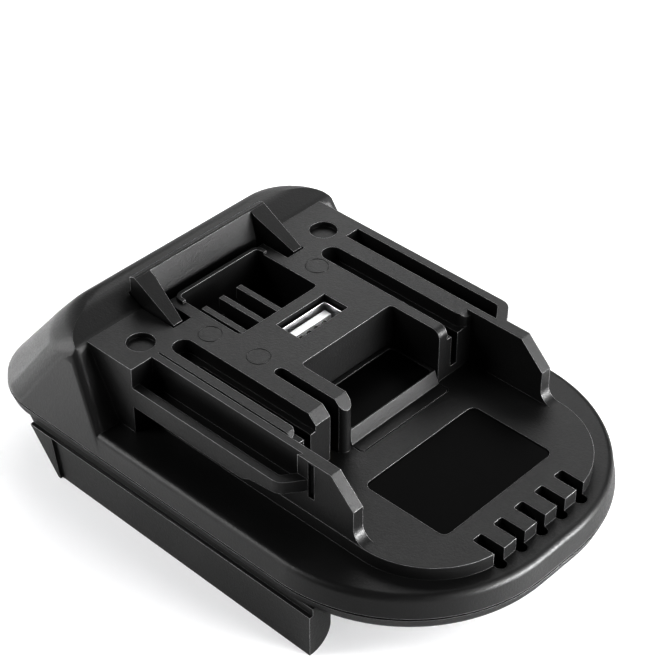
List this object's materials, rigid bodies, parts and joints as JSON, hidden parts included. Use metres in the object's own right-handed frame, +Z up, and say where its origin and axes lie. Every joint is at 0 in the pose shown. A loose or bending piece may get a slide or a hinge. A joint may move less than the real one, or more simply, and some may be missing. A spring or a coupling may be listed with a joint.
{
  "type": "tool battery adapter",
  "caption": "Black moulded adapter that slides onto a cordless tool's foot and takes a battery pack below, with a sprung release latch and an upward USB port.",
  "frame": {"origin": "middle of the body's footprint, on the plane that the two skirts stand on", "axes": "+Z up out of the tool deck, +Y towards the hump with the release latch, -Y towards the rounded nose, +X towards the tall rail"},
  "size_m": [0.08, 0.123, 0.0416],
  "materials": {
    "housing_black": "fine matte moulded",
    "inner_plastic": "matte",
    "label_black": "gloss print film",
    "steel": "bright plated",
    "usb_white": "satin",
    "brass": "plated",
    "board_green": "solder mask",
    "component_dark": "matte"
  },
  "bodies": {
    "adapter": {"upper_housing": "housing_black", "lower_housing": "housing_black", "pocket_insert": "housing_black", "latch_spring_left": "steel", "latch_spring_right": "steel", "front_label": "label_black", "pocket_label": "label_black", "usb_shell": "steel", "usb_tongue": "usb_white", "usb_contacts": "brass", "circuit_board": "board_green", "power_inductor": "component_dark", "filter_capacitors": "component_dark", "control_chip": "component_dark", "terminal_holder": "inner_plastic", "positive_clip": "brass", "negative_clip": "brass", "signal_contact": "brass", "battery_terminal_block": "inner_plastic", "positive_blade": "brass", "negative_blade": "brass", "signal_blade": "brass", "positive_lead": "brass", "negative_lead": "brass", "housing_screws": "steel"},
    "latch": {"release_latch": "housing_black"}
  },
  "joints": [
    {"name": "latch_slide", "type": "slide", "parent": "adapter", "child": "latch", "axis": [0, 0, -1], "range_m": [0, 0.005], "stiffness_N_per_m": 700, "springref_m": -0.003, "deforming": ["latch_spring_left", "latch_spring_right"]}
  ]
}
